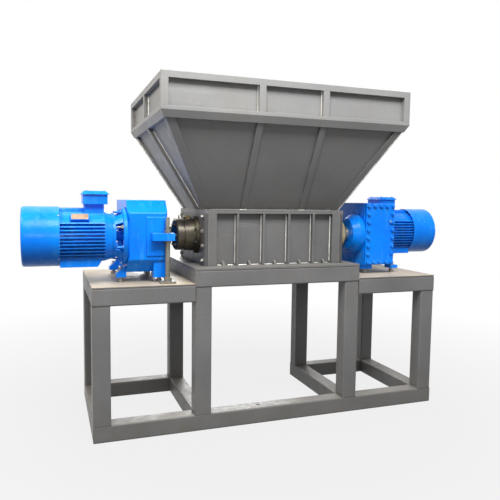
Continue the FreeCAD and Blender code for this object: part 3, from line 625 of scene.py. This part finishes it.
def add_foot_studs():
    """Nuts and threads of the studs under the gear units and of the tie rods."""
    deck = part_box("side_deck_plates")[1].z
    mesh = bmesh.new()
    for x, y in inner_foot_studs + outer_foot_studs:
        nut_skin(mesh, x, y, deck)
        thread(mesh, x, y, deck + nut_height, foot_low)
    for x, y in outer_foot_studs:
        nut_skin(mesh, x, y, foot_top)
        thread(mesh, x, y, foot_top + nut_height, stud_top)
    piece("foot_studs", mesh, zinc)

    low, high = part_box("torque_lugs")[0].z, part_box("torque_lugs")[1].z
    mesh = bmesh.new()
    nut_skin(mesh, *tie_rod, high)
    nut_skin(mesh, *tie_rod, low - nut_height)
    thread(mesh, *tie_rod, high + nut_height, tie_rod_top)
    piece("tie_rod_threads", mesh, rod_steel)


# Chamber and bearings
def add_chamber_bolts():
    end_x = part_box("chamber_left_end")[0].x
    face_x = end_x - bearing_flange
    cap_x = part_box("idle_bearings")[0].x
    plates, flanges, caps, nipples = bmesh.new(), bmesh.new(), bmesh.new(), bmesh.new()
    for y in (-end_bolt_y, end_bolt_y):
        for i in range(end_bolt_rows):
            z = end_bolt_low + (end_bolt_high - end_bolt_low) * i / (end_bolt_rows - 1)
            hex_bolt(plates, (end_x, y, z), (-1, 0, 0), bolt)
    for y in (-shaft_y, shaft_y):
        for i in range(8):
            place = ring_point((face_x, y, motor_axis.z), (-1, 0, 0), bearing_bolt_circle,
                               math.pi * (i + 0.5) / 4.0)
            hex_bolt(flanges, place, (-1, 0, 0), small_bolt)
        lathe(nipples, (end_x - nipple_inset, y, motor_axis.z + nipple_rise), (0, 0, 1),
              [(0.0, 0.006), (0.006, 0.006), (0.006, 0.0035), (0.012, 0.0035), (0.015, 0.0048),
               (0.018, 0.003)], 12)
    for i in range(6):
        place = ring_point((cap_x, -shaft_y, motor_axis.z), (-1, 0, 0), bearing_cap_circle,
                           math.pi * i / 3.0)
        hex_bolt(caps, place, (-1, 0, 0), small_bolt)
    piece("end_plate_bolts", plates, zinc)
    piece("bearing_bolts", flanges, bearing_iron)
    piece("bearing_cap_bolts", caps, bearing_iron)
    piece("grease_nipples", nipples, brass)


def add_chamber_welds():
    low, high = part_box("chamber_front_wall")
    wall_y = low.y + rib_proud
    ribs = [(i - (rib_count - 1) / 2.0) * rib_spacing for i in range(rib_count)]
    bays = [low.x + end_post] + ribs + [high.x - end_post]
    # The bright beads sit on the roots that face the light and carry a painted highlight.
    bright, dull = bmesh.new(), bmesh.new()
    for x in ribs + [high.x - end_post + rib_width / 2.0]:
        root = x - rib_width / 2.0
        bead(bright, (root, wall_y, low.z + 0.012), (root, wall_y, high.z - 0.008), rib_bead)
    for x in ribs + [low.x + end_post - rib_width / 2.0]:
        root = x + rib_width / 2.0
        bead(dull, (root, wall_y, low.z + 0.006), (root, wall_y, high.z - 0.006), thin_bead)
    for x in (low.x, high.x):
        bead(dull, (x, low.y, low.z), (x, low.y, high.z), edge_bead)
    for start, end in zip(bays, bays[1:]):
        middle_x = (start + end) / 2.0
        for low_x, high_x in ((start + 0.016, middle_x - tab_half_gap),
                              (middle_x + tab_half_gap, end - 0.016)):
            bead(bright, (low_x, wall_y, low.z), (high_x, wall_y, low.z), foot_bead)
        bead(dull, (start + 0.010, wall_y, high.z), (end - 0.010, wall_y, high.z), top_bead)
    piece("chamber_welds", bright, highlit_weld)
    piece("painted_chamber_welds", dull, bead_paint)


# Frame
def add_frame_welds():
    """Ground beads round the tops and bottoms of the legs and where the rails butt."""
    mesh = bmesh.new()
    for name in ("outer_legs", "inner_legs"):
        low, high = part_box(name)
        for z in (low.z, high.z):
            bead_ring(mesh, low.x, low.x + tube, low.y, low.y + tube, z)
    low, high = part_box("side_deck_long_rails")
    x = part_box("inner_legs")[0].x
    for y in (low.y, low.y + tube):
        bead(mesh, (x, y, low.z), (x, y, high.z), ground_bead)
    piece("frame_welds", mesh, frame_paint, ways=("x", "y"))


# Hopper
def add_hopper_welds():
    throat_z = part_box("hopper_front_panel")[0].z
    bend_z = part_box("hopper_front_panel")[1].z
    rim_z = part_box("rim_long_panels")[1].z
    throat_x, throat_y = (-value for value in at_level("hopper_left_panel", throat_z)[0::2])
    bend_x, bend_y = (-value for value in at_level("rim_long_panels", rim_z)[0::2])
    strip_z = bend_z + lower_strip
    rail_z = rim_z - upper_rail
    half = post_width / 2.0

    # The bright beads sit on the roots that face the light and carry a painted highlight.
    bright, dull = bmesh.new(), bmesh.new()
    for x in (-mid_post_x, mid_post_x):
        left, right = x - half, x + half
        bead(bright, (left, -bend_y, strip_z), (left, -bend_y, rail_z), post_bead)
        bead(dull, (right, -bend_y, strip_z), (right, -bend_y, rail_z), thin_bead)
        for root in (left, right):
            foot = Vector((root, -throat_y, throat_z))
            head = Vector((root, -bend_y, bend_z))
            stitches(dull, foot.lerp(head, rib_start), foot.lerp(head, rib_end), thin_bead)
        end_y = -throat_y - sheet
        bead(bright, (left, end_y, throat_z), (right, end_y, throat_z), foot_bead)
    for x in (-bend_x - corner_proud + post_width, bend_x + corner_proud - post_width):
        bead(dull, (x, -bend_y, strip_z), (x, -bend_y, rail_z), thin_bead)
    corner = []
    for z in (end.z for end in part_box("hopper_corner_angles")):
        high_x, low_y = at_level("hopper_corner_angles", z)[1:3]
        corner.append((high_x, low_y, z))
    bead(bright, *corner, corner_bead)
    bays = [-bend_x, -mid_post_x - half, -mid_post_x + half, mid_post_x - half, mid_post_x + half, bend_x]
    for start, end in zip(bays[0::2], bays[1::2]):
        bead(dull, (start + 0.014, -bend_y, strip_z), (end - 0.014, -bend_y, strip_z), seam_bead)
    bead(dull, (-throat_x, -throat_y, throat_z), (throat_x, -throat_y, throat_z), foot_bead)
    piece("hopper_bright_welds", bright, highlit_weld)
    piece("hopper_front_welds", dull, bead_paint)

    # The bright beads sit on the side that faces the light and carry a painted highlight.
    bright, dull = bmesh.new(), bmesh.new()
    for y, mesh in ((-half, bright), (half, dull)):
        bead(mesh, (-bend_x, y, strip_z), (-bend_x, y, rail_z), end_post_bead)
        foot = Vector((-throat_x, side_rib_throat_y + y, throat_z))
        head = Vector((-bend_x, y, bend_z))
        bead(mesh, foot.lerp(head, rib_start), foot.lerp(head, rib_end), rib_bead)
    for y in (-bend_y - corner_proud + post_width, bend_y + corner_proud - post_width):
        bead(dull, (-bend_x, y, strip_z), (-bend_x, y, rail_z), thin_bead)
    for start, end in ((-bend_y + 0.03, -0.03), (0.03, bend_y - 0.03)):
        bead(dull, (-bend_x, start, strip_z), (-bend_x, end, strip_z), seam_bead)
    bead(dull, (-throat_x, -throat_y, throat_z), (-throat_x, throat_y, throat_z), foot_bead)
    piece("hopper_end_bright_welds", bright, highlit_weld)
    piece("hopper_end_welds", dull, bead_paint)

    inside = bmesh.new()
    foot = Vector((-throat_x + sheet, -throat_y + sheet, throat_z))
    head = Vector((-bend_x + sheet, -bend_y + sheet, bend_z))
    bead(inside, foot, head, seam_bead)
    bead(inside, head, (head.x, head.y, rim_z - 0.003), seam_bead)
    bead(inside, head, (0.0, head.y, head.z), fold_bead)
    bead(inside, head, (head.x, 0.0, head.z), fold_bead)
    piece("hopper_welds_inside", inside, bead_paint, ways=("x", "y"))


add_cover_bolts()
add_lantern_studs()
add_motor_fittings()
add_foot_studs()
add_chamber_bolts()
add_chamber_welds()
add_frame_welds()
add_hopper_welds()


# Camera, floor and light
def add_camera():
    forward = Vector((math.sin(camera_yaw) * math.cos(camera_pitch),
                      math.cos(camera_yaw) * math.cos(camera_pitch), -math.sin(camera_pitch)))
    right = Vector((math.cos(camera_yaw), -math.sin(camera_yaw), 0.0))
    up = right.cross(forward)
    tilted_right = right * math.cos(camera_roll) + up * math.sin(camera_roll)
    tilted_up = up * math.cos(camera_roll) - right * math.sin(camera_roll)
    data = bpy.data.cameras.new("camera")
    data.sensor_fit = "HORIZONTAL"
    data.sensor_width = 36.0
    data.lens = camera_lens
    camera = bpy.data.objects.new("camera", data)
    turn = Matrix((tilted_right, tilted_up, -forward)).transposed().to_4x4()
    camera.matrix_world = Matrix.Translation(camera_place) @ turn
    bpy.context.scene.collection.objects.link(camera)
    bpy.context.scene.camera = camera


def add_light(name, place, target, size, power, colour):
    data = bpy.data.lights.new(name, "AREA")
    data.shape = "RECTANGLE"
    data.size, data.size_y = size
    data.energy = power
    data.color = colour
    light = bpy.data.objects.new(name, data)
    turn = (Vector(target) - Vector(place)).to_track_quat("-Z", "Y").to_matrix().to_4x4()
    light.matrix_world = Matrix.Translation(Vector(place)) @ turn
    bpy.context.scene.collection.objects.link(light)


def seen_directly(tree):
    """1 for rays that show the background itself: from the camera, a mirror or clear glass."""
    path = tree.nodes.new("ShaderNodeLightPath")
    total = path.outputs["Is Camera Ray"]
    for kind in ("Is Glossy Ray", "Is Transmission Ray"):
        largest = tree.nodes.new("ShaderNodeMath")
        largest.operation = "MAXIMUM"
        tree.links.new(total, largest.inputs[0])
        tree.links.new(path.outputs[kind], largest.inputs[1])
        total = largest.outputs[0]
    return total


def ranged(tree, value, low, high, to_low, to_high):
    node = tree.nodes.new("ShaderNodeMapRange")
    tree.links.new(value, node.inputs["Value"])
    for name, number in (("From Min", low), ("From Max", high), ("To Min", to_low), ("To Max", to_high)):
        node.inputs[name].default_value = number
    return node.outputs["Result"]


def add_floor():
    """A pale floor that keeps the machine's shadow and fades into the white background."""
    bpy.ops.mesh.primitive_plane_add(size=120.0, location=(0.0, 0.0, 0.0))
    floor = bpy.context.object
    floor.name = "studio_floor"
    material = bpy.data.materials.new("studio floor")
    material.use_nodes = True
    tree = material.node_tree
    tree.nodes.clear()
    matt = tree.nodes.new("ShaderNodeBsdfDiffuse")
    matt.inputs["Color"].default_value = (0.1, 0.1, 0.1, 1.0)
    pale = tree.nodes.new("ShaderNodeEmission")
    distance = tree.nodes.new("ShaderNodeVectorMath")
    distance.operation = "LENGTH"
    tree.links.new(tree.nodes.new("ShaderNodeTexCoord").outputs["Object"], distance.inputs[0])
    whiteness = ranged(tree, distance.outputs["Value"], 1.2, 4.0, 0.84, 1.0)
    share = tree.nodes.new("ShaderNodeMath")
    share.operation = "MULTIPLY"
    tree.links.new(seen_directly(tree), share.inputs[0])
    tree.links.new(whiteness, share.inputs[1])
    blend = tree.nodes.new("ShaderNodeMixShader")
    tree.links.new(share.outputs[0], blend.inputs[0])
    tree.links.new(matt.outputs[0], blend.inputs[1])
    tree.links.new(pale.outputs[0], blend.inputs[2])
    out = tree.nodes.new("ShaderNodeOutputMaterial")
    tree.links.new(blend.outputs[0], out.inputs["Surface"])
    floor.data.materials.append(material)


def add_world():
    """A hall that is lighter overhead than at eye level, behind a plain white background."""
    world = bpy.data.worlds.new("studio")
    world.use_nodes = True
    tree = world.node_tree
    tree.nodes.clear()
    hall = tree.nodes.new("ShaderNodeBackground")
    hall.inputs["Color"].default_value = (0.98, 0.98, 1.0, 1.0)
    direction = tree.nodes.new("ShaderNodeSeparateXYZ")
    tree.links.new(tree.nodes.new("ShaderNodeTexCoord").outputs["Generated"], direction.inputs[0])
    tree.links.new(ranged(tree, direction.outputs["Z"], 0.0, 0.9, 0.16, 0.7), hall.inputs["Strength"])
    white = tree.nodes.new("ShaderNodeBackground")
    white.inputs["Color"].default_value = (1.0, 1.0, 1.0, 1.0)
    blend = tree.nodes.new("ShaderNodeMixShader")
    tree.links.new(seen_directly(tree), blend.inputs[0])
    tree.links.new(hall.outputs[0], blend.inputs[1])
    tree.links.new(white.outputs[0], blend.inputs[2])
    out = tree.nodes.new("ShaderNodeOutputWorld")
    tree.links.new(blend.outputs[0], out.inputs["Surface"])
    bpy.context.scene.world = world


add_camera()
add_floor()
add_world()
add_light("roof light", (-0.3, -2.5, 4.2), (0.0, 0.0, 1.2), (2.6, 1.4), 215.0, (1.0, 1.0, 1.0))
add_light("left window", (-3.4, -0.8, 3.7), (0.0, 0.0, 1.4), (1.6, 1.4), 112.0, (1.0, 0.93, 0.82))
add_light("flash", (-1.33, -3.7, 1.62), (0.0, 0.0, 1.2), (0.5, 0.12), 11.0, (1.0, 1.0, 1.0))
add_light("rear fill", (0.9, 4.3, 2.4), (0.0, 0.0, 1.1), (2.4, 1.8), 120.0, (1.0, 1.0, 1.0))
add_light("right fill", (4.6, 0.6, 2.2), (0.0, 0.0, 1.2), (1.8, 1.8), 80.0, (1.0, 1.0, 1.0))

bpy.context.scene.view_settings.view_transform = "Standard"
